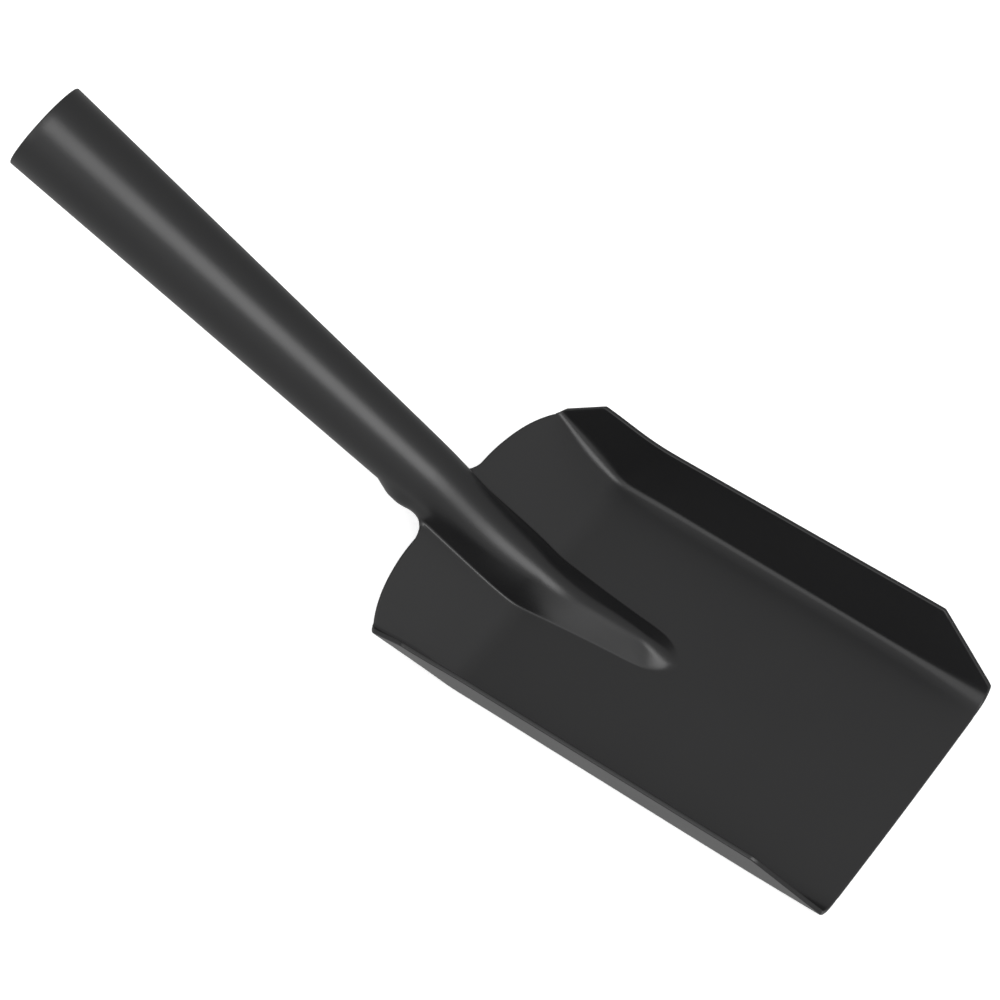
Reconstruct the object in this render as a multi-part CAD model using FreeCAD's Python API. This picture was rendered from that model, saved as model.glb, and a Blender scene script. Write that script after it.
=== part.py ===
import FreeCAD, Part
import math
import os

# Hand scoop of pressed sheet steel: an open pan with a tapered tube for a handle.
#
# Millimetres. +X points to the digging edge, +Y to the left wall and +Z up.
# The origin is on the ground, in the middle of the pan's flat underside.
# The pan's sizes are those of the upper face of its sheet, before its bends are rounded.
# "Forward" is measured from the heel, the bend between the floor and the back slope.

Vector = FreeCAD.Vector

# Sheet
blade_gauge = 1.5
handle_gauge = 0.9

# Pan. Its side walls lean out, a little more behind the heel than along the floor
floor_length = 138.0
floor_half_width_edge = 44.9
floor_half_width_heel = 45.7
side_lean = math.radians(15.0)
rear_lean = math.radians(16.9)
lean_change = 20.0
slope_angle = math.radians(26.1)
heel_radius = 18.0
fold_radius = 4.5
edge_crown = 0.3

# Corners of a side wall: distance forward, and height over the floor
wall_front_foot = (138.2, 5.2)
wall_front_top = (116.7, 24.2)
wall_top_dip = (8.4, 21.3)
wall_rear_top = (-11.9, 23.7)
wall_rear_foot = (-26.3, 12.9)
wall_dip_radius = 145.0
wall_corner_radius = 2.5

# Shoulder, the rear edge of the slope: distance forward, and distance from the middle
shoulder_inner = (-35.1, 19.0)
shoulder_middle = (-32.4, 36.0)
shoulder_outer = (-26.3, 50.0)
notch_half_width = 12.6
notch_radius = 4.0

# Tube: its axis starts at the neck and runs parallel to the slope to the open end
neck_forward = -41.8
neck_height = 23.8
neck_radius = 11.0
end_radius = 15.8
tube_length = 163.2
end_rounding = 0.3

# Frog, the ridge that carries the tube's round on into the pan. Each row is a circle
# that the ridge follows from the neck to its nose: distance forward, height over the
# floor, radius. The nose dives under the floor.
frog_circles = [
    (-30.0, 16.0, 10.8),
    (-15.1, 6.5, 10.8),
    (-4.7, 1.4, 10.8),
    (4.5, -2.4, 10.8),
    (14.0, -4.8, 10.7),
    (24.0, -4.7, 10.2),
    (33.0, -4.3, 9.4),
    (40.5, -3.5, 8.2),
    (46.0, -4.4, 7.0),
    (51.0, -7.0, 6.3),
    (55.0, -9.6, 6.0),
]
frog_sections = 24
frog_fillet = 1.2

# Neck joint, behind the neck: the blade's collar is butted to the tube and welded round
joint_back = 13.0
neck_weld_width = 2.0
neck_weld_root = 0.4
mouth_front = 36.0

# Seam under the tube
seam_width = 1.6
seam_crown = 0.3
seam_end_gap = 1.5

# Cutting solids: how far they reach, how far they pass what they cut, and the distance
# from the middle outside which only the walls and the shoulders' ends lie
reach = 80.0
margin = 10.0
wall_zone = 40.0

heel_x = -floor_length / 2
edge_x = floor_length / 2
floor_z = blade_gauge

back = Vector(-math.cos(slope_angle), 0, math.sin(slope_angle))
out = Vector(math.sin(slope_angle), 0, math.cos(slope_angle))
across = Vector(0, 1, 0)
neck = Vector(heel_x + neck_forward, 0, floor_z + neck_height)
taper = (end_radius - neck_radius) / tube_length


def prism(points, direction):
    """Solid swept straight from a closed outline."""
    return Part.Face(Part.makePolygon(points + [points[0]])).extrude(direction)


def tube_radius(distance):
    """Outer radius of the tube, by distance behind the neck."""
    return neck_radius + taper * distance


def cone(start, end, shrink):
    """Stretch of the tube between two distances behind the neck, filled, less shrink all round."""
    radii = (tube_radius(start) - shrink, tube_radius(end) - shrink)
    return Part.makeCone(radii[0], radii[1], end - start, neck + back * start, back)


def floor_half_width(x):
    share = (x - heel_x) / floor_length
    return floor_half_width_heel + (floor_half_width_edge - floor_half_width_heel) * share


def wall_section(x, low, top, grow):
    """Outline between the walls, across the pan, from under low to over top."""
    lean = rear_lean if x < heel_x else side_lean
    foot = floor_half_width(x) + grow / math.cos(lean) - grow * math.tan(lean)
    below = foot - margin * math.tan(lean)
    above = foot + (top + margin - low) * math.tan(lean)
    corners = [
        Vector(x, -below, low - margin),
        Vector(x, below, low - margin),
        Vector(x, above, top + margin),
        Vector(x, -above, top + margin),
    ]
    return Part.makePolygon(corners + [corners[0]])


def pan_space(grow):
    """Space over the pan. grow is 0 at the sheet's upper face and its gauge at the lower one."""
    low = floor_z - grow
    top = floor_z + reach
    heel = Vector(heel_x - grow * math.tan(slope_angle / 2), -reach, low)
    side = [
        heel,
        Vector(edge_x + reach, -reach, low),
        Vector(edge_x + reach, -reach, top),
        heel + back * ((top - low) / back.z),
    ]
    body = prism(side, across * 2 * reach)
    bend = [e for e in body.Edges if e.CenterOfMass.distanceToPoint(Vector(heel.x, 0, low)) < 0.01]
    body = body.makeFillet(heel_radius + grow, bend)

    stations = [heel_x - 2 * lean_change, heel_x - lean_change, heel_x + lean_change]
    stations += [edge_x - 2 * lean_change, edge_x + margin]
    sections = [wall_section(x, low, top, grow) for x in stations]
    body = body.common(Part.makeLoft(sections, True, False))

    folds = []
    for edge in body.Edges:
        first, last = edge.Vertexes[0].Point, edge.Vertexes[-1].Point
        lengthwise = abs(first.x - last.x) > abs(first.y - last.y)
        if lengthwise and max(first.z, last.z) < top / 2:
            folds.append(edge)
    return body.makeFillet(fold_radius + grow, folds)


def ridge(shrink):
    """Round body whose top is the frog and whose rear is the neck of the tube."""
    joint = neck + back * joint_back
    stations = [Vector(joint.x, tube_radius(joint_back), joint.z), Vector(neck.x, neck_radius, neck.z)]
    for forward, height, radius in frog_circles:
        stations.append(Vector(heel_x + forward, radius, floor_z + height))
    path = Part.BSplineCurve()
    path.interpolate(stations)
    circles = []
    for i in range(frog_sections + 1):
        share = i / frog_sections
        place = path.getD1(path.FirstParameter * (1 - share) + path.LastParameter * share)
        centre = Vector(place[0].x, 0, place[0].z)
        along = Vector(place[1].x, 0, place[1].z)
        circles.append(Part.Wire(Part.makeCircle(place[0].y - shrink, centre, along)))
    return Part.makeLoft(circles, True, False)


def sheet_face(grow):
    """Space over the sheet, frog included, with the frog's foot rounded."""
    space = pan_space(grow).cut(ridge(grow))
    foot = []
    for edge in space.Edges:
        middle = edge.CenterOfMass
        beside = blade_gauge < abs(middle.y) < neck_radius + 2 * blade_gauge
        if beside and middle.z < neck.z:
            foot.append(edge)
    return space.makeFillet(frog_fillet + grow, foot)


def plan_outline():
    """Pan seen from above, with the notches, as a tall solid."""
    def arc(a, b, c):
        return Part.Arc(*[Vector(heel_x + p[0], p[1], 0) for p in (a, b, c)]).toShape()

    def line(a, b):
        return Part.makeLine(Vector(heel_x + a[0], a[1], 0), Vector(heel_x + b[0], b[1], 0))

    clear = shoulder_outer[1] + margin
    crown_x = floor_length + edge_crown
    corner_x = crown_x - edge_crown * (clear / floor_half_width_edge) ** 2
    notch_bottom = shoulder_inner[0] - notch_radius
    side_y = notch_half_width + notch_radius
    bulge = notch_radius * (1 - math.sqrt(0.5))
    edges = [arc((corner_x, -clear), (crown_x, 0), (corner_x, clear))]
    for side in (1, -1):
        outline = [(p[0], side * p[1]) for p in (shoulder_outer, shoulder_middle, shoulder_inner)]
        edges.append(line((corner_x, side * clear), (shoulder_outer[0], side * clear)))
        edges.append(line((shoulder_outer[0], side * clear), outline[0]))
        edges.append(arc(*outline))
        edges.append(line(outline[2], (shoulder_inner[0], side * side_y)))
        middle = (shoulder_inner[0] - bulge, side * (notch_half_width + bulge))
        edges.append(arc((shoulder_inner[0], side * side_y), middle, (notch_bottom, side * notch_half_width)))
    edges.append(line((notch_bottom, notch_half_width), (notch_bottom, -notch_half_width)))
    face = Part.Face(Part.Wire(Part.__sortEdges__(edges)))
    face.translate(Vector(0, 0, -reach))
    return face.extrude(Vector(0, 0, 2 * reach))


def over_wall(side):
    """What is cut away over a side wall and in front of it."""
    def at(corner):
        return Vector(heel_x + corner[0], side * wall_zone, floor_z + corner[1])

    front_top, dip, rear_top = at(wall_front_top), at(wall_top_dip), at(wall_rear_top)
    slant = at(wall_front_foot) - front_top
    fall = rear_top - dip
    rise = Vector(0, 0, reach)
    points = [rear_top + fall, dip, front_top, front_top + slant * 2]
    points += [front_top + slant * 2 + rise * 2, rear_top + fall + rise]
    body = prism(points, Vector(0, side * wall_zone, 0))
    middle = dip + Vector(0, side * wall_zone / 2, 0)
    bend = min(body.Edges, key=lambda e: e.CenterOfMass.distanceToPoint(middle))
    return body.makeFillet(wall_dip_radius, [bend])


def behind_wall(side):
    """What is cut away behind a side wall, from the shoulder's end up."""
    foot = Vector(heel_x + shoulder_outer[0], side * shoulder_outer[1], floor_z + wall_rear_foot[1])
    height = wall_rear_top[1] - wall_rear_foot[1]
    up = Vector(wall_rear_top[0] - wall_rear_foot[0], side * height * math.tan(rear_lean), height)
    inner = Vector(shoulder_middle[0] - shoulder_outer[0], side * (shoulder_middle[1] - shoulder_outer[1]), 0)
    inner.z = -inner.x * math.tan(slope_angle)
    points = [foot + up * i + inner * j for i, j in ((-1, -1), (3, -1), (3, 1), (-1, 1))]
    away = up.cross(inner) * -side
    return prism(points, away.normalize() * wall_zone)


def wall_corner(corner, side):
    """A wall's corner, on the sheet's upper face."""
    y = floor_half_width_heel + corner[1] * math.tan(side_lean)
    return Vector(heel_x + corner[0], side * y, floor_z + corner[1])


def slab(start, end):
    """Everything between two planes across the tube."""
    corner = start - (out + across) * reach / 2
    face = [corner, corner + out * reach, corner + (out + across) * reach, corner + across * reach]
    return prism(face, back * (end - start).dot(back))


def mouth(front, joint):
    """Opening under the collar, seen from the side."""
    start = front - out * blade_gauge
    end = joint - out * (neck - joint).dot(out) - out * tube_radius(joint_back)
    points = [start, end, end - out * margin * 2, start - out * margin * 2]
    return prism([p - across * reach / 2 for p in points], across * reach)


def collar():
    """Neck of the blade: the tube's round, open underneath in a mouth that closes at the joint."""
    shell = ridge(0).cut(ridge(blade_gauge))
    front = Vector(heel_x, 0, floor_z) + back * mouth_front
    joint = neck + back * (joint_back - neck_weld_width / 2)
    return shell.common(slab(front, joint)).cut(mouth(front, joint))


def blade():
    sheet = sheet_face(blade_gauge).cut(sheet_face(0)).common(plan_outline())
    for side in (1, -1):
        sheet = sheet.cut(over_wall(side)).cut(behind_wall(side))
    sheet = sheet.fuse(collar()).Solids[0]
    corners = [wall_corner(c, side) for c in (wall_front_top, wall_rear_top) for side in (1, -1)]
    sharp = [min(sheet.Edges, key=lambda e: e.CenterOfMass.distanceToPoint(c)) for c in corners]
    return sheet.makeFillet(wall_corner_radius, sharp)


def seam_strip(start, end, width):
    """Box along the underside of the tube, from its axis outwards."""
    corner = neck + back * start - across * width / 2
    depth = out * end_radius * 2
    face = [corner, corner + across * width, corner + across * width - depth, corner - depth]
    return prism(face, back * (end - start))


def socket_handle():
    start = joint_back + neck_weld_width / 2
    shell = cone(start, tube_length, 0).cut(cone(start, tube_length, handle_gauge))
    rims = [e for e in shell.Edges if abs((e.CenterOfMass - neck).dot(back) - tube_length) < 0.01]
    shell = shell.makeFillet(end_rounding, [e for e in rims if e.Closed])
    return shell.cut(seam_strip(start, tube_length, seam_width))


def neck_weld():
    start = joint_back - neck_weld_width / 2
    end = joint_back + neck_weld_width / 2
    return cone(start, end, 0).cut(cone(start, end, blade_gauge + neck_weld_root))


def seam_weld():
    start = joint_back + neck_weld_width / 2
    end = tube_length - seam_end_gap
    fill = cone(start, end, -seam_crown).cut(cone(start, end, handle_gauge + seam_crown / 2))
    return fill.common(seam_strip(start, end, seam_width))


os.makedirs("parts", exist_ok=True)
for piece in (blade, socket_handle, neck_weld, seam_weld):
    piece().exportStep("parts/%s.step" % piece.__name__)
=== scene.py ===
import math

import bmesh
import bpy
import numpy as np
from mathutils import Matrix, Vector


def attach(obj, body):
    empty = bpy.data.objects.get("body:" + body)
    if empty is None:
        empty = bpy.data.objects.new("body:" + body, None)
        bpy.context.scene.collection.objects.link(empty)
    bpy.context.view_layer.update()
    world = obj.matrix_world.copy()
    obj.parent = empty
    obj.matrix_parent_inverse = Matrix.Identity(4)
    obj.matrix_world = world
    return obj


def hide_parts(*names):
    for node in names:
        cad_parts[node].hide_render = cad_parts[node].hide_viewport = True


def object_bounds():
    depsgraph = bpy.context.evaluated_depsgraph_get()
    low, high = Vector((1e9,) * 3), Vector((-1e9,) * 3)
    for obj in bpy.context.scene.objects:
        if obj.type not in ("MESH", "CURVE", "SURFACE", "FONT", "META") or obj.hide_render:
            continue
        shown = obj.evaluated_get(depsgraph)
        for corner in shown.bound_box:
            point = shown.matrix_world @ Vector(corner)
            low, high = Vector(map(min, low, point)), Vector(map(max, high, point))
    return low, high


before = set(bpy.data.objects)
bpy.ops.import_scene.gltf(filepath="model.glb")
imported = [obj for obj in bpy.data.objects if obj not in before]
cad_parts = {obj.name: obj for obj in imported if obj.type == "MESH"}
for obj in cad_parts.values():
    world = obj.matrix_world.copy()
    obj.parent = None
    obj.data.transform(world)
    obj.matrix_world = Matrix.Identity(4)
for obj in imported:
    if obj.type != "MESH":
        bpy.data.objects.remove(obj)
cad_low, cad_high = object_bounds()

# Hand scoop of pressed sheet steel with a satin black powder coat.
#
# Shapes are worked out in millimetres, x forward from the heel (the bend between the floor and
# the back slope), y to the left and z up from the floor's upper face, then put in the frame.
# "Along" is a distance along the pan's profile, forward from the middle of the heel's bend.
# Shares and turns run from 0 at the start of a stretch to 1 at its end.

MM = 0.001

# Sheet

BLADE_GAUGE = 1.5
HANDLE_GAUGE = 0.9
RIM = BLADE_GAUGE / 2
EDGE_RADIUS = 0.42

# Pan

FLOOR_LENGTH = 138.0
EDGE_CROWN = 0.3
CROWN_FADE = 60.0
EDGE_HALF_WIDTH = 44.9
HEEL_HALF_WIDTH = 45.7
SIDE_LEAN = math.radians(15.0)
REAR_LEAN = math.radians(16.9)
REAR_LEAN_FROM = 13.0
REAR_LEAN_TO = -12.0
SLOPE = math.radians(26.1)
HEEL_RADIUS = 18.0

# Fold between pan and wall, by distance forward: inner radius, and the degrees by which the pan
# has already curved up where the fold proper starts
FOLD = [
    (-30.0, 2.0, 1.0),
    (-26.0, 2.2, 1.0),
    (-13.0, 4.2, 1.0),
    (0.0, 2.7, 3.0),
    (10.0, 2.5, 8.0),
    (30.0, 2.3, 11.0),
    (60.0, 2.3, 11.0),
    (110.0, 2.8, 11.0),
    (125.0, 4.4, 10.0),
    (139.0, 6.7, 9.0),
]
RAMP_RADIUS = 18.0
LEAST_RAMP = 0.5

# Corners of a side wall: forward, up
WALL_FRONT_FOOT = (138.2, 5.2)
WALL_FRONT_TOP = (116.7, 23.9)
WALL_TOP_DIP = (8.4, 21.65)
WALL_REAR_TOP = (-11.9, 24.0)
WALL_FOOT_RADIUS = 1.5
WALL_DIP_RADIUS = 145.0

# Shoulder, the rear edge of the slope, from the notch to the fold: out from the middle, forward
SHOULDER = [
    (13.6, -35.6),
    (16.1, -34.7),
    (19.0, -34.5),
    (31.5, -33.3),
    (40.3, -31.1),
    (47.3, -28.0),
    (49.9, -26.5),
]

# Tube and welds. The neck is where the tube's axis starts: along, and height off the sheet
NECK_ALONG = -47.9
NECK_RISE = 3.0
NECK_RADIUS = 11.0
END_RADIUS = 15.8
TUBE_LENGTH = 163.2
JOINT_BACK = 13.0
NECK_WELD_WIDTH = 2.0
SEAM_WIDTH = 1.6
SEAM_CROWN = 0.3
SEAM_END_GAP = 1.5

# Crest of the frog, the ridge that carries the tube's round on into the pan: forward, up
CREST = [
    (-25.3, 25.9),
    (-10.2, 16.2),
    (0.0, 11.4),
    (8.0, 7.7),
    (15.0, 5.9),
    (24.0, 5.5),
    (33.0, 5.3),
    (36.0, 5.1),
    (38.0, 4.9),
    (40.0, 4.6),
    (42.0, 4.15),
    (44.0, 3.5),
    (46.0, 2.7),
    (48.0, 1.85),
    (50.0, 1.0),
    (51.5, 0.4),
    (53.0, 0.0),
    (56.0, -1.5),
]

# Frog's section: along, radius of its rounded top, how far from the middle its foot lies, and by
# how many degrees its flank bows each way
FROG = [
    (-60.0, 11.0, 12.0, 0.0),
    (-47.9, 10.9, 12.0, 0.0),
    (-39.0, 10.5, 12.2, 0.0),
    (-30.0, 10.2, 12.35, 0.0),
    (-20.0, 9.7, 12.45, 1.5),
    (-11.0, 8.8, 12.45, 4.5),
    (-4.5, 7.7, 12.2, 6.5),
    (2.0, 6.5, 11.6, 6.0),
    (8.0, 6.1, 10.9, 5.0),
    (15.0, 5.8, 10.1, 3.5),
    (25.0, 5.1, 9.1, 1.0),
    (35.0, 4.2, 8.25, 0.0),
    (42.0, 3.8, 7.6, 0.0),
    (45.0, 5.0, 7.0, 0.0),
    (48.0, 6.5, 5.85, 0.0),
    (50.5, 7.5, 4.3, 0.0),
    (53.0, 8.0, 2.0, 0.0),
]
FROG_FILLET = 1.0
FROG_LANDING = 0.4
LEAST_BOW = 0.001
STEEPEST_FLANK = math.radians(89.9)

# Collar, the neck of the blade, by distance behind the neck: radius of its round, how far
# round its lower edges reach, in degrees from the top, and how far they stand off the round
COLLAR = [
    (-4.5, 10.66, 111.0, 1.2),
    (-3.0, 10.73, 112.0, 1.15),
    (-1.0, 10.83, 113.0, 1.5),
    (1.5, 10.94, 115.0, 1.95),
    (4.0, 11.08, 121.0, 1.95),
    (6.5, 11.18, 133.0, 1.9),
    (9.0, 11.27, 152.0, 1.5),
    (10.8, 11.32, 168.0, 0.8),
    (12.0, 11.35, 178.5, 0.0),
]
COLLAR_FLARE_FROM = math.radians(78.0)

heel = cad_high.x / MM - EDGE_CROWN - FLOOR_LENGTH

# Helpers for shapes

HALVINGS = 40
TINY = 1e-6


def to_frame(points):
    """Millimetres from the heel to metres in the frame."""
    return (np.asarray(points, float) + (heel, 0, BLADE_GAUGE)) * MM


def spline(stations, x):
    """Natural cubic through stations sorted by their first value: a column per further value."""
    table = np.asarray(stations, float)
    t, values, gap = table[:, 0], table[:, 1:], np.diff(table[:, 0])
    n = len(t)
    system, right = np.eye(n), np.zeros_like(values)
    for i in range(1, n - 1):
        system[i, i - 1 : i + 2] = gap[i - 1], 2 * (gap[i - 1] + gap[i]), gap[i]
        ahead = (values[i + 1] - values[i]) / gap[i]
        right[i] = 6 * (ahead - (values[i] - values[i - 1]) / gap[i - 1])
    bend = np.linalg.solve(system, right)
    x = np.clip(np.atleast_1d(np.asarray(x, float)), t[0], t[-1])
    i = np.clip(np.searchsorted(t, x) - 1, 0, n - 2)
    a = ((t[i + 1] - x) / gap[i])[:, None]
    b = 1 - a
    h = gap[i][:, None] ** 2 / 6
    return a * values[i] + b * values[i + 1] + ((a**3 - a) * bend[i] + (b**3 - b) * bend[i + 1]) * h


def smoothstep(t):
    t = np.clip(t, 0, 1)
    return t * t * (3 - 2 * t)


def unit(v):
    return v / np.linalg.norm(v, axis=-1, keepdims=True)


# Upper face of the pan

HALF_BEND = HEEL_RADIUS * SLOPE / 2
TANGENT = HEEL_RADIUS * math.tan(SLOPE / 2)


def profile(along):
    """x, z and slope angle of the pan's upper face."""
    angle = np.clip((HALF_BEND - along) / HEEL_RADIUS, 0, SLOPE)
    ahead = np.maximum(along - HALF_BEND, 0)
    behind = np.maximum(-HALF_BEND - along, 0)
    x = TANGENT - HEEL_RADIUS * np.sin(angle) + ahead - behind * math.cos(SLOPE)
    z = HEEL_RADIUS * (1 - np.cos(angle)) + behind * math.sin(SLOPE)
    return x, z, angle


def along_of(x):
    """Where along the profile the pan is x forward of the heel, on its flats."""
    x = np.asarray(x, float)
    return np.where(x > 0, x - TANGENT + HALF_BEND, x / math.cos(SLOPE) + TANGENT - HALF_BEND)


def off_pan(along, y, height):
    """Point at a height off the pan's upper face, square to it."""
    x, z, angle = profile(np.asarray(along, float))
    return np.stack([x + height * np.sin(angle), y + 0 * x, z + height * np.cos(angle)], -1)


def half_width(x):
    """From the middle to the wall's plane, at the level of the floor."""
    return HEEL_HALF_WIDTH + (EDGE_HALF_WIDTH - HEEL_HALF_WIDTH) * np.clip(x / FLOOR_LENGTH, 0, 1)


def wall_lean(x):
    """Lean of the wall, which flares out a little towards the rear."""
    rearward = smoothstep((REAR_LEAN_FROM - x) / (REAR_LEAN_FROM - REAR_LEAN_TO))
    return SIDE_LEAN + (REAR_LEAN - SIDE_LEAN) * rearward


def wall_offset(x, z):
    """From the middle to the wall's inner face."""
    return half_width(x) + z * np.tan(wall_lean(x))


def fold(along, turn):
    """Point between pan and wall: turn is 0 at the pan, 1 where the fold starts, 2 at the wall."""
    along, turn = np.asarray(along, float), np.asarray(turn, float)[..., None]
    x, z, angle = profile(along)
    radius, ramp = spline(FOLD, x).T
    ramp = np.radians(np.maximum(ramp, LEAST_RAMP))
    rise = radius + (RAMP_RADIUS - radius) * (1 - np.cos(ramp))
    cx, cz = x + rise * np.sin(angle), z + rise * np.cos(angle)
    lean = wall_lean(cx)
    cy = wall_offset(cx, cz) - radius / np.cos(lean)
    down = np.stack([-np.sin(angle), 0 * angle, -np.cos(angle)], -1)
    side = np.stack([0 * lean, np.cos(lean), -np.sin(lean)], -1)
    whole = np.arccos((down * side).sum(-1))[..., None]
    radius, ramp = radius[..., None], ramp[..., None]

    def arm(turned):
        return (np.sin(whole - turned) * down + np.sin(turned) * side) / np.sin(whole)

    tight = np.stack([cx, cy, cz], -1)
    wide = tight - (RAMP_RADIUS - radius) * arm(ramp)
    early = wide + RAMP_RADIUS * arm(ramp * np.minimum(turn, 1))
    late = tight + radius * arm(ramp + (whole - ramp) * np.maximum(turn - 1, 0))
    return np.where(turn < 1, early, late)


# Tube, a straight cone in line with the slope

BACK = np.array([-math.cos(SLOPE), 0, math.sin(SLOPE)])
OUT = np.array([math.sin(SLOPE), 0, math.cos(SLOPE)])
LEFT = np.array([0.0, 1.0, 0.0])
NECK = off_pan(NECK_ALONG, 0, NECK_RISE)
TAPER = (END_RADIUS - NECK_RADIUS) / TUBE_LENGTH


def tube_radius(back):
    return NECK_RADIUS + TAPER * back


def round_tube(back, radius, angle):
    """Point by distance behind the neck, radius, and angle from the tube's top towards the left."""
    back, radius, angle = np.broadcast_arrays(back, radius, angle)
    across = np.sin(angle)[..., None] * LEFT + np.cos(angle)[..., None] * OUT
    return NECK + back[..., None] * BACK + radius[..., None] * across


# Cross-section of the frog. Its crest runs on from the tube's top

TUBE_TOP = [tuple(round_tube(s, tube_radius(s), 0.0)[[0, 2]]) for s in (20.0, 10.0, 0.0)]
CREST_LINE = TUBE_TOP + CREST
CREST_HEIGHTS = (-8.0, 20.0)


def crest_height(along):
    """Height of the frog's crest off the sheet."""
    x, z, angle = profile(along)
    low, high = (np.full(len(along), limit) for limit in CREST_HEIGHTS)
    for _ in range(HALVINGS):
        height = (low + high) / 2
        above = z + height * np.cos(angle) > spline(CREST_LINE, x + height * np.sin(angle))[:, 0]
        low, high = np.where(above, low, height), np.where(above, height, high)
    return height


def frog_sizes(along):
    """Crest's height, radius of the top, steepness, bow and length of the flank, and foot."""
    crest = crest_height(along)
    landing = ((crest + FROG_LANDING).clip(0) / (2 * FROG_LANDING)) ** 2 * FROG_LANDING
    crest = np.where(crest > FROG_LANDING, crest, landing)
    radius, foot, bow = spline(FROG, along).T
    bow = np.radians(np.maximum(bow, LEAST_BOW))
    low, high = 0 * crest, np.full(len(along), STEEPEST_FLANK)
    for _ in range(HALVINGS):
        steep = (low + high) / 2
        top, toe = np.maximum(steep - bow, 0), steep + bow
        flank = (foot - radius * np.sin(top) - FROG_FILLET * np.sin(toe)) / np.cos(steep)
        flank = np.maximum(flank, 0)
        rounds = radius * (1 - np.cos(top)) + FROG_FILLET * (1 - np.cos(toe))
        over = rounds + flank * np.sin(steep) > crest
        low, high = np.where(over, low, steep), np.where(over, steep, high)
    foot = radius * np.sin(top) + flank * np.cos(steep) + FROG_FILLET * np.sin(toe)
    return crest, radius, steep, bow, flank, foot


def frog_section(along, share):
    """Offset and height off the sheet: share is 0 at the crest, 1 at the fillet, 2 at its foot."""
    crest, radius, steep, bow, flank, foot = frog_sizes(along)
    top = steep - bow
    length = np.clip(share, 0, 1) * (radius * top + flank)
    angle = np.minimum(length / radius, top)
    turned = bow * (length - radius * angle) / np.maximum(flank, TINY)
    chord = flank * np.sin(turned) / np.sin(bow)
    y = radius * np.sin(angle) + chord * np.cos(top + turned)
    height = crest - radius + radius * np.cos(angle) - chord * np.sin(top + turned)
    rest = (steep + bow) * (2 - np.maximum(share, 1))
    fillet_y = foot - FROG_FILLET * np.sin(rest)
    fillet_height = FROG_FILLET - FROG_FILLET * np.cos(rest)
    return np.where(share <= 1, y, fillet_y), np.where(share <= 1, height, fillet_height)


def frog_height(along, y):
    """Height off the sheet at an offset from the middle, near the nose, where no flank bows."""
    crest, radius, steep, _, _, foot = frog_sizes(along)
    top = radius * np.sin(steep)
    cap = crest - radius + np.sqrt(np.maximum(radius**2 - y**2, 0))
    slant = crest - radius + radius * np.cos(steep) - (y - top) * np.tan(steep)
    toe = FROG_FILLET - np.sqrt(np.maximum(FROG_FILLET**2 - (foot - y) ** 2, 0))
    stretches = [y < top, y < foot - FROG_FILLET * np.sin(steep), y < foot]
    return np.where(crest > TINY, np.select(stretches, [cap, slant, toe], 0), 0)


# Upper face of the blade as one grid. Rows run from the digging edge back, and columns from the
# crest of the frog out to the top of the wall. Behind the notch only the inner columns go on,
# as the collar. The grid stops half a gauge short of the sheet's edges, and the cut edge
# fills the rest.

CREST_COLUMNS = 18
FILLET_COLUMNS = 6
NOTCH_COLUMNS = 2
PAN_COLUMNS = 20
RAMP_COLUMNS = 4
FOLD_COLUMNS = 8
WALL_COLUMNS = 12
LAST_NOTCH = CREST_COLUMNS + FILLET_COLUMNS + NOTCH_COLUMNS
LAST_WALL = LAST_NOTCH + PAN_COLUMNS + RAMP_COLUMNS + FOLD_COLUMNS + WALL_COLUMNS
NOTCH_ROWS = 8
COLLAR_ROWS = 23
CORNER_STEPS = 8

NOTCH_ALONG = float(along_of(SHOULDER[0][1])) + RIM
FRONT_ALONG = float(along_of(FLOOR_LENGTH)) - RIM
SHOULDER_START = -8.0

# Ahead of this the columns keep their offsets, and run out over the frog's nose
FROG_HOLD = 43.0

# Stretches of rows, closer at the frog's nose and in the heel: from, to, how many
ROW_STRETCHES = [
    (FRONT_ALONG, 56.0, 48),
    (56.0, 40.0, 32),
    (40.0, 8.0, 22),
    (8.0, SHOULDER_START, 26),
    (SHOULDER_START, NOTCH_ALONG, 24),
]


def row_stations():
    """Where along the profile the rows lie."""
    rows = [np.linspace(start, end, n, endpoint=False) for start, end, n in ROW_STRETCHES]
    return np.append(np.concatenate(rows), NOTCH_ALONG)


def steps(start, columns):
    """Shares of the columns that follow the one at start."""
    return start + np.linspace(0, 1, columns + 1)[1:]


def tail(rows, end):
    """The rows, with those behind the heel spread so that the last lies at end."""
    share = np.clip((rows - SHOULDER_START) / (rows[-1] - SHOULDER_START), 0, 1)
    return rows + share * (end - rows[-1])


def crowned(rows, y):
    """The rows, with those near the digging edge moved forward by its crown."""
    crown = EDGE_CROWN * (1 - (y / EDGE_HALF_WIDTH) ** 2)
    return rows + crown * smoothstep(1 - (rows[0] - rows) / CROWN_FADE)


def shoulder_along(y):
    """Where along the profile the slope's grid ends, by offset from the middle."""
    return along_of(spline(SHOULDER, y)[:, 0]) + RIM


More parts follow.
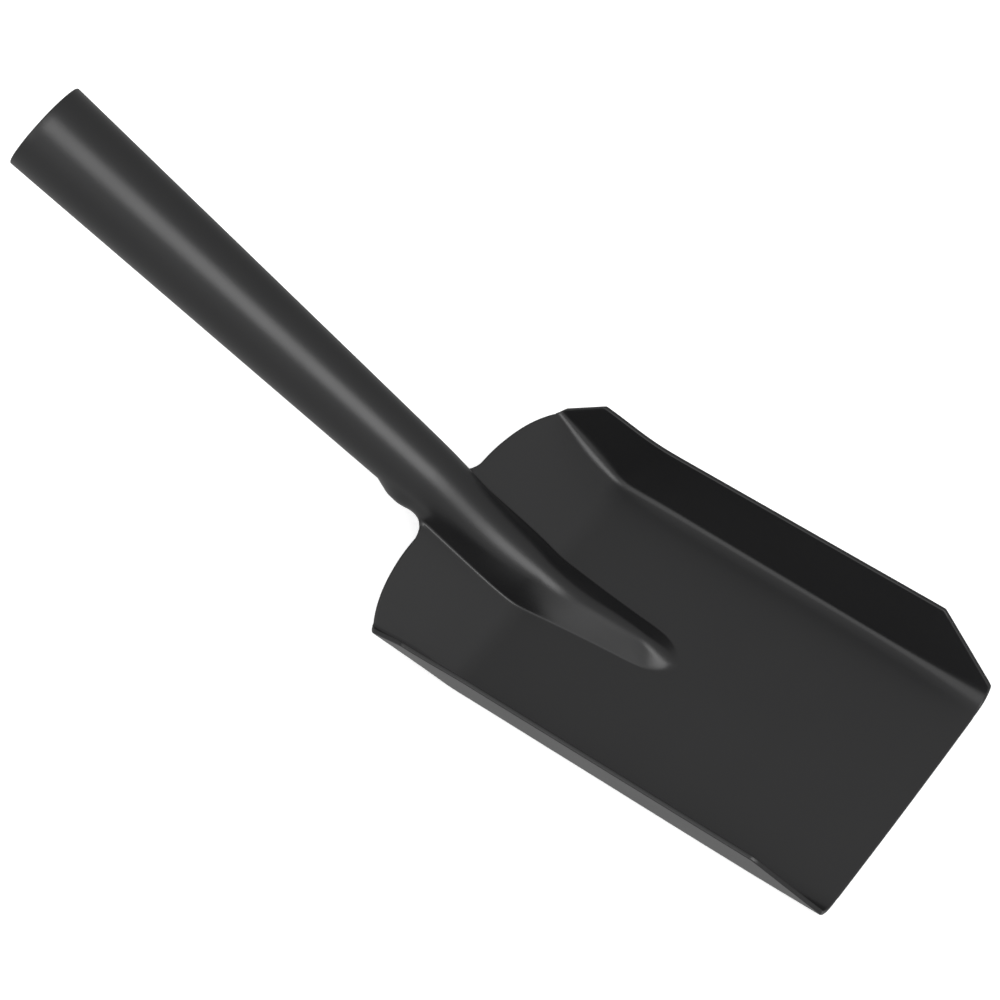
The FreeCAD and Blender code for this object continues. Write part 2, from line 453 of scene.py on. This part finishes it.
def wall_outline():
    """Corners of the wall's grid, from the front round to the rear: forward, up."""
    corners = (WALL_FRONT_FOOT, WALL_FRONT_TOP, WALL_TOP_DIP, WALL_REAR_TOP)
    foot, top, dip, rear = (np.array(corner) for corner in corners)
    last = np.array([SHOULDER[-1][1], -SHOULDER[-1][1] * math.tan(SLOPE)])

    def inset(start, end):
        """Line moved in by half the gauge, as a point and a direction."""
        way = unit(end - start)
        return start + np.array([-way[1], way[0]]) * RIM, way

    def meet(a, b):
        (p, u), (q, v) = a, b
        return p + u * ((q[0] - p[0]) * v[1] - (q[1] - p[1]) * v[0]) / (u[0] * v[1] - u[1] * v[0])

    edge = (np.array([FLOOR_LENGTH - RIM, 0]), np.array([0, 1.0]))
    slant, upper = inset(foot, top), inset(top, dip)
    fall, rise = inset(dip, rear), inset(rear, last)
    end = rise[0] + (last - rear)
    return [meet(edge, slant), meet(slant, upper), meet(upper, fall), meet(fall, rise), end]


def path(corners, radii, shares):
    """Points along a polyline with its inner corners rounded, by share of its length."""
    points = [corners[0]]
    for before, corner, after, radius in zip(corners, corners[1:], corners[2:], radii):
        into, away = unit(corner - before), unit(after - corner)
        half = math.acos(np.clip(into @ away, -1, 1)) / 2
        reach = radius * math.tan(half)
        for t in np.linspace(0, 1, CORNER_STEPS + 1):
            a, b = corner - into * reach * (1 - t), corner + away * reach * t
            points.append(a * (1 - t) + b * t)
    points = np.array(points + [corners[-1]])
    lengths = np.append(0, np.cumsum(np.linalg.norm(np.diff(points, axis=0), axis=1)))
    spots = np.asarray(shares) * lengths[-1]
    return np.stack([np.interp(spots, lengths, points[:, k]) for k in (0, 1)], -1)


def wall_grid(bottom):
    """The wall's columns above the fold, blended between the fold's last column and the outline."""
    low, top, dip, rear, _ = wall_outline()
    first, end = bottom[0, [0, 2]], bottom[-1, [0, 2]]
    columns = np.linspace(0, 1, WALL_COLUMNS + 1)
    rows = (bottom[:, 0] - first[0]) / (end[0] - first[0])
    front = path([first, low, top], [WALL_FOOT_RADIUS], columns)
    back = path([end, rear], [], columns)
    upper = path([top, dip, rear], [WALL_DIP_RADIUS], rows)
    u, v = rows[:, None, None], columns[None, :, None]
    edges = (1 - v) * bottom[:, None, [0, 2]] + v * upper[:, None] + (1 - u) * front + u * back
    corners = (1 - u) * ((1 - v) * first + v * top) + u * ((1 - v) * end + v * rear)
    x, z = np.moveaxis(edges - corners, -1, 0)
    return np.stack([x, wall_offset(x, z), z], -1)[:, 1:]


def frog_grid(rows):
    """The frog's columns, from its crest to its foot."""
    shares = np.concatenate([[0], steps(0, CREST_COLUMNS), steps(1, FILLET_COLUMNS)])
    held, _ = frog_section(np.full(len(shares), FROG_HOLD), shares)
    grid = []
    for along, forward in zip(rows, crowned(rows, 0)):
        spot = np.full(len(shares), along)
        if along < FROG_HOLD:
            grid.append(off_pan(spot, *frog_section(spot, shares)))
        else:
            grid.append(off_pan(np.full(len(shares), forward), held, frog_height(spot, held)))
    return np.array(grid)


def pan_grid():
    """Rows from the digging edge to the notch, columns from the crest to the wall's top."""
    rows = row_stations()
    frog = frog_grid(rows)
    foot = frog[:, -1, 1]
    notch_y, _ = SHOULDER[0]
    fold_rows = tail(rows, shoulder_along([SHOULDER[-1][0] - FOLD[0][1]])[0])
    fold_y = fold(fold_rows, 0 * fold_rows)[:, 1]
    pan = []
    for share in steps(0, NOTCH_COLUMNS):
        y = foot + (notch_y - foot) * share
        pan.append(off_pan(crowned(rows, y), y, 0 * y))
    for share in steps(0, PAN_COLUMNS)[:-1]:
        y = notch_y + (fold_y - notch_y) * share
        pan.append(off_pan(crowned(tail(rows, shoulder_along(y[-1:])[0]), y), y, 0 * y))

    wall_end = float(along_of(wall_outline()[-1][0]))
    for turn in np.concatenate([[0], steps(0, RAMP_COLUMNS), steps(1, FOLD_COLUMNS)]):
        end = fold_rows[-1] + (wall_end - fold_rows[-1]) * max(turn - 1, 0)
        pan.append(fold(tail(rows, end), np.full(len(rows), turn)))
    return np.concatenate([frog, np.stack(pan, 1), wall_grid(pan[-1])], 1)


def collar_grid(last_row):
    """Rows behind the notch, from the pan's last row to the joint."""
    lengths = np.append(0, np.cumsum(np.linalg.norm(np.diff(last_row, axis=0), axis=1)))
    shares = lengths / lengths[-1]
    start = NECK_ALONG - NOTCH_ALONG
    first, end = COLLAR[0][0], JOINT_BACK - NECK_WELD_WIDTH / 2
    leading = np.linspace(start, first, NOTCH_ROWS + 1)[1:]
    behind = np.append(leading, np.linspace(first, end, COLLAR_ROWS + 1)[1:])
    grid = []
    for back in behind:
        along = NECK_ALONG - back
        rounds, reach, stand = spline(COLLAR, back)[0]
        reach = math.radians(reach) - RIM / (rounds + stand)
        angle = shares * reach
        flare = smoothstep((angle - COLLAR_FLARE_FROM) / (reach - COLLAR_FLARE_FROM))
        radius = rounds + stand * flare
        crest = NECK_RISE + tube_radius(back) if back > 0 else crest_height(np.array([along]))[0]
        height = crest - rounds + radius * np.cos(angle)
        row = off_pan(np.full(len(angle), along), radius * np.sin(angle), height)
        if back < first:
            blend = math.sin((back - start) / (first - start) * math.pi / 2)
            row = (row[0] + last_row - last_row[0]) * (1 - blend) + row * blend
        grid.append(row)
    return np.array(grid)


# Meshes

SHARP = math.radians(40)
EDGE_STEPS = 5
AROUND = 160
TUBE_ROWS = 60
LIP_STEPS = 8


def mesh_piece(name, points, faces):
    """A piece of the scoop, with its faces turned outward."""
    mesh = bpy.data.meshes.new(name)
    corners = [tuple(int(corner) for corner in face) for face in faces]
    mesh.from_pydata([tuple(point) for point in to_frame(points)], [], corners)
    outward = bmesh.new()
    outward.from_mesh(mesh)
    bmesh.ops.recalc_face_normals(outward, faces=outward.faces)
    outward.to_mesh(mesh)
    outward.free()
    mesh.polygons.foreach_set("use_smooth", [True] * len(mesh.polygons))
    mesh.set_sharp_from_angle(angle=SHARP)
    mesh.update()
    piece = bpy.data.objects.new(name, mesh)
    bpy.context.scene.collection.objects.link(piece)
    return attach(piece, "root")


def numbered(grid, start=0):
    """Vertex numbers of a grid of points."""
    return start + np.arange(grid[..., 0].size).reshape(grid.shape[:-1])


def quads(index):
    """Faces of a grid of vertex numbers, facing along columns x rows."""
    corners = (index[:-1, :-1], index[:-1, 1:], index[1:, 1:], index[1:, :-1])
    return np.stack(corners, -1).reshape(-1, 4)


def mirrored(half):
    return np.concatenate([half[:, :0:-1] * (1, -1, 1), half], 1)


def vertex_normals(points, faces):
    a, b, c, d = (points[faces[:, k]] for k in range(4))
    normal = np.cross(c - a, d - b)
    total = np.zeros_like(points)
    for k in range(4):
        np.add.at(total, faces[:, k], normal)
    return unit(total)


def cut_edge():
    """The cut edge's section, from the upper face to the lower: height and reach from the grid."""
    turns = np.linspace(0, math.pi / 2, EDGE_STEPS)
    turns = np.append(turns, turns + math.pi / 2)
    middles = (RIM - EDGE_RADIUS) * np.repeat([1, -1], EDGE_STEPS)
    heights = middles + EDGE_RADIUS * np.cos(turns) - RIM
    return zip(heights, RIM - EDGE_RADIUS * (1 - np.sin(turns)))


def blade_piece():
    half = pan_grid()
    pan = mirrored(half)
    collar = mirrored(collar_grid(half[-1, : LAST_NOTCH + 1]))
    pan_index = numbered(pan)
    upper = np.concatenate([pan.reshape(-1, 3), collar.reshape(-1, 3)])
    count = len(upper)
    left_notch, right_notch = LAST_WALL + LAST_NOTCH, LAST_WALL - LAST_NOTCH
    inner = pan_index[-1, right_notch : left_notch + 1]
    collar_index = np.concatenate([inner[None], numbered(collar, pan_index.size)])
    top = np.concatenate([quads(pan_index), quads(collar_index)])
    normals = vertex_normals(upper, top)
    points = [upper, upper - BLADE_GAUGE * normals]

    # Round the sheet's edge, from the digging edge's right end and back to it
    loop = np.concatenate([
        pan_index[0],
        pan_index[1:, -1],
        pan_index[-1, -2:left_notch:-1],
        collar_index[:, -1],
        collar_index[-1, -2:0:-1],
        collar_index[::-1, 0],
        pan_index[-1, right_notch - 1 : 0 : -1],
        pan_index[:0:-1, 0],
    ])
    joint = np.isin(loop, collar_index[-1])
    spots, normal = upper[loop], normals[loop]
    ways = unit(unit(np.roll(spots, -1, 0) - spots) + unit(spots - np.roll(spots, 1, 0)))
    outward = unit(np.cross(ways, normal)) * np.where(joint, 0, 1)[:, None]
    rings = [loop]
    for k, (height, reach) in enumerate(cut_edge()):
        level = -BLADE_GAUGE * (k + 1) / (2 * EDGE_STEPS + 1)
        rings.append(count * 2 + len(loop) * k + np.arange(len(loop)))
        points.append(spots + np.where(joint, level, height)[:, None] * normal + reach * outward)
    rings.append(loop + count)
    rings = np.array(rings)
    rings = np.concatenate([rings, rings[:, :1]], 1)
    faces = np.concatenate([top, top[:, ::-1] + count, quads(rings.T)])
    return mesh_piece("pressed_blade", np.concatenate(points), faces)


def handle_piece():
    """Tube rolled from sheet, open along its underside for the seam weld, with a rounded lip."""
    start = JOINT_BACK + NECK_WELD_WIDTH / 2
    end = TUBE_LENGTH - HANDLE_GAUGE / 2
    stations = np.linspace(start, end, TUBE_ROWS)
    lip = np.linspace(0, math.pi, LIP_STEPS + 1)[1:-1]
    middle = tube_radius(end) - HANDLE_GAUGE / 2
    back = np.concatenate([stations, end + HANDLE_GAUGE / 2 * np.sin(lip), stations[::-1]])
    radius = np.concatenate([
        tube_radius(stations),
        middle + HANDLE_GAUGE / 2 * np.cos(lip),
        tube_radius(stations[::-1]) - HANDLE_GAUGE,
    ])
    gap = np.arcsin(SEAM_WIDTH / 2 / radius)
    angles = np.linspace(-1, 1, AROUND + 1) * (math.pi - gap)[:, None]
    points = round_tube(back[:, None], radius[:, None], angles)
    index = numbered(points)
    faces = quads(np.concatenate([index, index[:1]]).T).tolist()
    half = len(back) // 2
    for column in (0, AROUND):
        outer, inner = index[:half, column], index[:half:-1, column]
        faces += np.stack([outer[:-1], outer[1:], inner[1:], inner[:-1]], -1).tolist()
    faces += [index[half - 1 : half + 2, column] for column in (0, AROUND)]
    return mesh_piece("handle_tube", points.reshape(-1, 3), faces)


# Section of the neck weld: share of its width, and depth in gauges
NECK_WELD_SECTION = [
    (0.0, 0.0),
    (0.25, 0.0),
    (0.5, 0.0),
    (0.75, 0.0),
    (1.0, 0.0),
    (1.0, 1.0),
    (0.75, 1.2),
    (0.5, 1.25),
    (0.25, 1.2),
    (0.0, 1.0),
]


def ring_weld_piece():
    across, depth = np.array(NECK_WELD_SECTION).T
    back = JOINT_BACK - NECK_WELD_WIDTH / 2 + NECK_WELD_WIDTH * across
    angles = np.linspace(-math.pi, math.pi, AROUND + 1)[:-1]
    points = round_tube(back[:, None], (tube_radius(back) - depth * BLADE_GAUGE)[:, None], angles)
    index = numbered(points)
    index = np.concatenate([index, index[:1]])
    index = np.concatenate([index, index[:, :1]], 1)
    return mesh_piece("neck_weld_ring", points.reshape(-1, 3), quads(index.T))


# Ripples of the seam weld: length of one, steps along it, and the shares of the bead's height
# and of the gap's width that come and go with them
BEAD_RIPPLE = 1.1
RIPPLE_STEPS = 6
RIPPLE_HEIGHT = 0.3
RIPPLE_WIDTH = 0.1
# The bead's width at its sides and the size of its root, as shares of the gap, how deep its
# sides sink, and the length over which it runs out
BEAD_OVERLAP = 1.15
BEAD_FILL = 0.9
BEAD_SINK = 0.05
BEAD_RUN_OUT = 1.5
BEAD_STEPS = 10


def seam_weld_piece():
    """Bead along the seam, with the ripples of a weld."""
    start = JOINT_BACK + NECK_WELD_WIDTH / 2
    end = TUBE_LENGTH - SEAM_END_GAP
    stations = np.linspace(start, end, int((end - start) / BEAD_RIPPLE * RIPPLE_STEPS))
    across = np.linspace(-1, 1, BEAD_STEPS + 1)
    ripple = np.abs(np.sin(math.pi * stations / BEAD_RIPPLE))
    run_out = np.sqrt(np.clip((end - stations) / BEAD_RUN_OUT, 0, 1))
    crown = SEAM_CROWN * (1 - RIPPLE_HEIGHT + RIPPLE_HEIGHT * ripple) * run_out
    width = SEAM_WIDTH / 2 * (BEAD_OVERLAP + RIPPLE_WIDTH * ripple)
    rise = crown[:, None] * (1 - across**2) - BEAD_SINK
    root = np.full(rise.shape, -HANDLE_GAUGE * BEAD_FILL)
    radius = tube_radius(stations)[:, None] + np.concatenate([rise, root], 1)
    root_y = SEAM_WIDTH / 2 * BEAD_FILL * across[::-1] + 0 * root
    y = np.concatenate([width[:, None] * across, root_y], 1)
    points = NECK + stations[:, None, None] * BACK - radius[..., None] * OUT + y[..., None] * LEFT
    index = numbered(points)
    sides = quads(np.concatenate([index, index[:, :1]], 1))
    upper, lower = index[[0, -1], : BEAD_STEPS + 1], index[[0, -1], :BEAD_STEPS:-1]
    first, last = np.stack([upper[:, :-1], upper[:, 1:], lower[:, 1:], lower[:, :-1]], -1)
    faces = np.concatenate([sides, first, last[:, ::-1]])
    return mesh_piece("seam_weld_bead", points.reshape(-1, 3), faces)


# Finish: a satin powder coat, whose tone and gloss vary a little, with orange peel and fine grain.
# A noise is given by scale and detail, and a bump by distance in metres and strength

COAT_DARK = (0.0072, 0.0072, 0.0076, 1)
COAT_LIGHT = (0.0100, 0.0100, 0.0105, 1)
TONE_NOISE = (22, 3)
GLOSS_NOISE = (35, 4)
COAT_ROUGHNESS = (0.31, 0.38)
PEEL_NOISE = (900, 2)
PEEL_BUMP = (0.00002, 0.6)
GRAIN_NOISE = (3500, 1)
GRAIN_BUMP = (0.000006, 0.5)
COAT_IOR = 1.5


def powder_coat():
    material = bpy.data.materials.new("powder_coat")
    material.use_nodes = True
    nodes, links = material.node_tree.nodes, material.node_tree.links
    shader = nodes["Principled BSDF"]
    place = nodes.new("ShaderNodeTexCoord")

    def noise(scale, detail):
        texture = nodes.new("ShaderNodeTexNoise")
        texture.inputs["Scale"].default_value = scale
        texture.inputs["Detail"].default_value = detail
        links.new(place.outputs["Object"], texture.inputs["Vector"])
        return texture.outputs["Fac"]

    def ramp(value, low, high):
        node = nodes.new("ShaderNodeMapRange")
        node.inputs["To Min"].default_value = low
        node.inputs["To Max"].default_value = high
        links.new(value, node.inputs["Value"])
        return node.outputs["Result"]

    def bump(value, distance, strength):
        node = nodes.new("ShaderNodeBump")
        node.inputs["Distance"].default_value = distance
        node.inputs["Strength"].default_value = strength
        links.new(value, node.inputs["Height"])
        return node

    tone = nodes.new("ShaderNodeMix")
    tone.data_type = "RGBA"
    tone.inputs["A"].default_value = COAT_DARK
    tone.inputs["B"].default_value = COAT_LIGHT
    links.new(noise(*TONE_NOISE), tone.inputs["Factor"])
    links.new(tone.outputs["Result"], shader.inputs["Base Color"])
    links.new(ramp(noise(*GLOSS_NOISE), *COAT_ROUGHNESS), shader.inputs["Roughness"])
    peel = bump(noise(*PEEL_NOISE), *PEEL_BUMP)
    grain = bump(noise(*GRAIN_NOISE), *GRAIN_BUMP)
    links.new(peel.outputs["Normal"], grain.inputs["Normal"])
    links.new(grain.outputs["Normal"], shader.inputs["Normal"])
    shader.inputs["IOR"].default_value = COAT_IOR
    return material


# The object

coat = powder_coat()
pieces = [
    (blade_piece(), "blade"),
    (handle_piece(), "socket_handle"),
    (ring_weld_piece(), "neck_weld"),
    (seam_weld_piece(), "seam_weld"),
]
for piece, node in pieces:
    piece.data.materials.append(coat)
    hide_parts(node)

# Stage: pale paper that reflections don't show

FLOOR_REACH = 4.0
PAPER_COLOUR = (0.82, 0.82, 0.82, 1)
PAPER_ROUGHNESS = 0.9
PAPER_GLOW = 0.55

paper = bpy.data.materials.new("paper")
paper.use_nodes = True
shader = paper.node_tree.nodes["Principled BSDF"]
shader.inputs["Base Color"].default_value = PAPER_COLOUR
shader.inputs["Roughness"].default_value = PAPER_ROUGHNESS
shader.inputs["Emission Color"].default_value = (1, 1, 1, 1)
shader.inputs["Emission Strength"].default_value = PAPER_GLOW

floor_mesh = bpy.data.meshes.new("studio_floor")
corners = ((-1, -1), (1, -1), (1, 1), (-1, 1))
floor_points = [(x * FLOOR_REACH, y * FLOOR_REACH, 0) for x, y in corners]
floor_mesh.from_pydata(floor_points, [], [(0, 1, 2, 3)])
floor_mesh.materials.append(paper)
floor = bpy.data.objects.new("studio_floor", floor_mesh)
bpy.context.scene.collection.objects.link(floor)
floor.visible_glossy = False

# Surroundings: their level, how it rises towards x, y and z, and how it rises below the horizon

SURROUNDINGS_LEVEL = 0.47
SURROUNDINGS_SLOPE = (0.09, -0.11, 0.23)
UNDER_SLOPE = 0.27


def studio_world():
    """Soft surroundings, which the camera sees as white."""
    world = bpy.data.worlds.new("studio")
    world.use_nodes = True
    nodes, links = world.node_tree.nodes, world.node_tree.links

    def maths(operation, *values):
        """A maths node of numbers and sockets."""
        node = nodes.new("ShaderNodeMath")
        node.operation = operation
        for socket, value in zip(node.inputs, values):
            if isinstance(value, float):
                socket.default_value = value
            else:
                links.new(value, socket)
        return node.outputs["Value"]

    place = nodes.new("ShaderNodeTexCoord")
    slope = nodes.new("ShaderNodeVectorMath")
    slope.operation = "DOT_PRODUCT"
    slope.inputs[1].default_value = SURROUNDINGS_SLOPE
    links.new(place.outputs["Generated"], slope.inputs[0])
    parts = nodes.new("ShaderNodeSeparateXYZ")
    links.new(place.outputs["Generated"], parts.inputs[0])
    under = maths("MULTIPLY", maths("MINIMUM", parts.outputs["Z"], 0.0), -UNDER_SLOPE)
    level = maths("ADD", maths("ADD", slope.outputs["Value"], SURROUNDINGS_LEVEL), under)
    ray = nodes.new("ShaderNodeLightPath")
    seen = nodes.new("ShaderNodeMix")
    seen.inputs["B"].default_value = 1.0
    links.new(ray.outputs["Is Camera Ray"], seen.inputs["Factor"])
    links.new(level, seen.inputs["A"])
    links.new(seen.outputs["Result"], nodes["Background"].inputs["Strength"])
    nodes["Background"].inputs["Color"].default_value = (1, 1, 1, 1)
    return world


def softbox(name, direction, distance, size, power):
    """Rectangular light aimed at the object. The first of its sizes is from left to right."""
    light = bpy.data.lights.new(name, "AREA")
    light.shape = "RECTANGLE"
    light.size, light.size_y = size
    light.energy = power
    lamp = bpy.data.objects.new(name, light)
    towards = Vector(direction).normalized()
    wide = (Vector((0, 1, 0)) - towards * towards.y).normalized()
    turn = Matrix((wide, towards.cross(wide), towards)).transposed().to_4x4()
    lamp.matrix_world = Matrix.Translation(towards * distance) @ turn
    bpy.context.scene.collection.objects.link(lamp)


scene = bpy.context.scene
scene.world = studio_world()
scene.view_settings.view_transform = "Standard"
softbox("key", (0.47, -0.25, 0.85), distance=3.0, size=(1.9, 1.75), power=45.0)
softbox("fill", (-0.42, -0.55, 0.72), distance=3.0, size=(3.4, 2.1), power=23.0)

# Camera: looks down from the right front, with a long lens

CAMERA_LENS = 122.64
CAMERA_SENSOR = 36
CAMERA_PLACE = (0.28375, -0.44215, 0.92171)
CAMERA_TURN = (32.924, 2.063, 36.464)

camera_data = bpy.data.cameras.new("camera")
camera_data.lens = CAMERA_LENS
camera_data.sensor_width = CAMERA_SENSOR
camera = bpy.data.objects.new("camera", camera_data)
camera.location = CAMERA_PLACE
camera.rotation_euler = [math.radians(angle) for angle in CAMERA_TURN]
scene.collection.objects.link(camera)
bpy.context.scene.camera = camera
